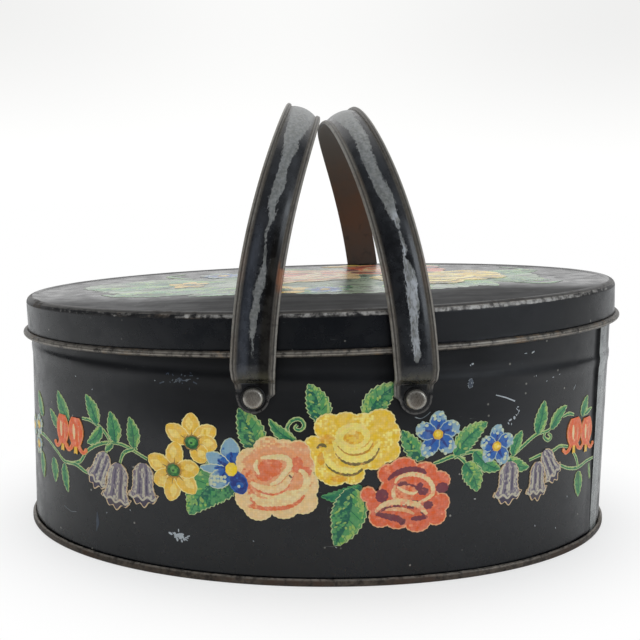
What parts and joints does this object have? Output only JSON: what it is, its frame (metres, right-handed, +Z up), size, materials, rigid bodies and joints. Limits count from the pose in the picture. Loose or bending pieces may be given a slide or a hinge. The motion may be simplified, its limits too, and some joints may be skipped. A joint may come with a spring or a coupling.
{
  "type": "bobbin box",
  "caption": "Oval lidded sewing tin with printed flowers, a loose slip lid and paired strap handles that swing down round its ends.",
  "frame": {"origin": "middle of the plane the bottom seam stands on, at the centre of the oval", "axes": "+X along the long axis of the oval to the end where the lid is tipped up, -Y the front with the flowers, +Z up"},
  "size_m": [0.2719, 0.2034, 0.1873],
  "materials": {
    "black_litho_tin": "semi-gloss printed black enamel on tinplate",
    "black_litho_tin_lid": "semi-gloss printed black enamel on tinplate, worn along the edges",
    "bare_tin_underside": "bare tinplate with brown oxidation on the seam",
    "worn_black_strap": "black enamel worn to grey metal along the crown and rims",
    "nickel": "dull nickel plate",
    "plain_steel": "plain steel"
  },
  "bodies": {
    "tin_body": {"body_wall": "black_litho_tin", "bottom_panel": "bare_tin_underside", "head_washer_left_front": "nickel", "spacer_left_front": "plain_steel", "burr_washer_left_front": "plain_steel", "rivet_left_front": "nickel", "head_washer_left_rear": "nickel", "spacer_left_rear": "plain_steel", "burr_washer_left_rear": "plain_steel", "rivet_left_rear": "nickel", "head_washer_right_front": "nickel", "spacer_right_front": "plain_steel", "burr_washer_right_front": "plain_steel", "rivet_right_front": "nickel", "head_washer_right_rear": "nickel", "spacer_right_rear": "plain_steel", "burr_washer_right_rear": "plain_steel", "rivet_right_rear": "nickel"},
    "lid": {"lid": "black_litho_tin_lid"},
    "left_handle": {"handle_left": "worn_black_strap"},
    "right_handle": {"handle_right": "worn_black_strap"}
  },
  "joints": [
    {"name": "lid_tip", "type": "hinge", "parent": "tin_body", "child": "lid", "pos_m": [-0.133, 0, 0.0851], "axis": [0, -1, 0], "range_deg": [-2.5, 4.2]},
    {"name": "left_handle_swing", "type": "hinge", "parent": "tin_body", "child": "left_handle", "pos_m": [-0.0304, 0, 0.0736], "axis": [0, -1, 0], "range_deg": [0, 120]},
    {"name": "right_handle_swing", "type": "hinge", "parent": "tin_body", "child": "right_handle", "pos_m": [0.0304, 0, 0.0736], "axis": [0, 1, 0], "range_deg": [0, 122]}
  ]
}
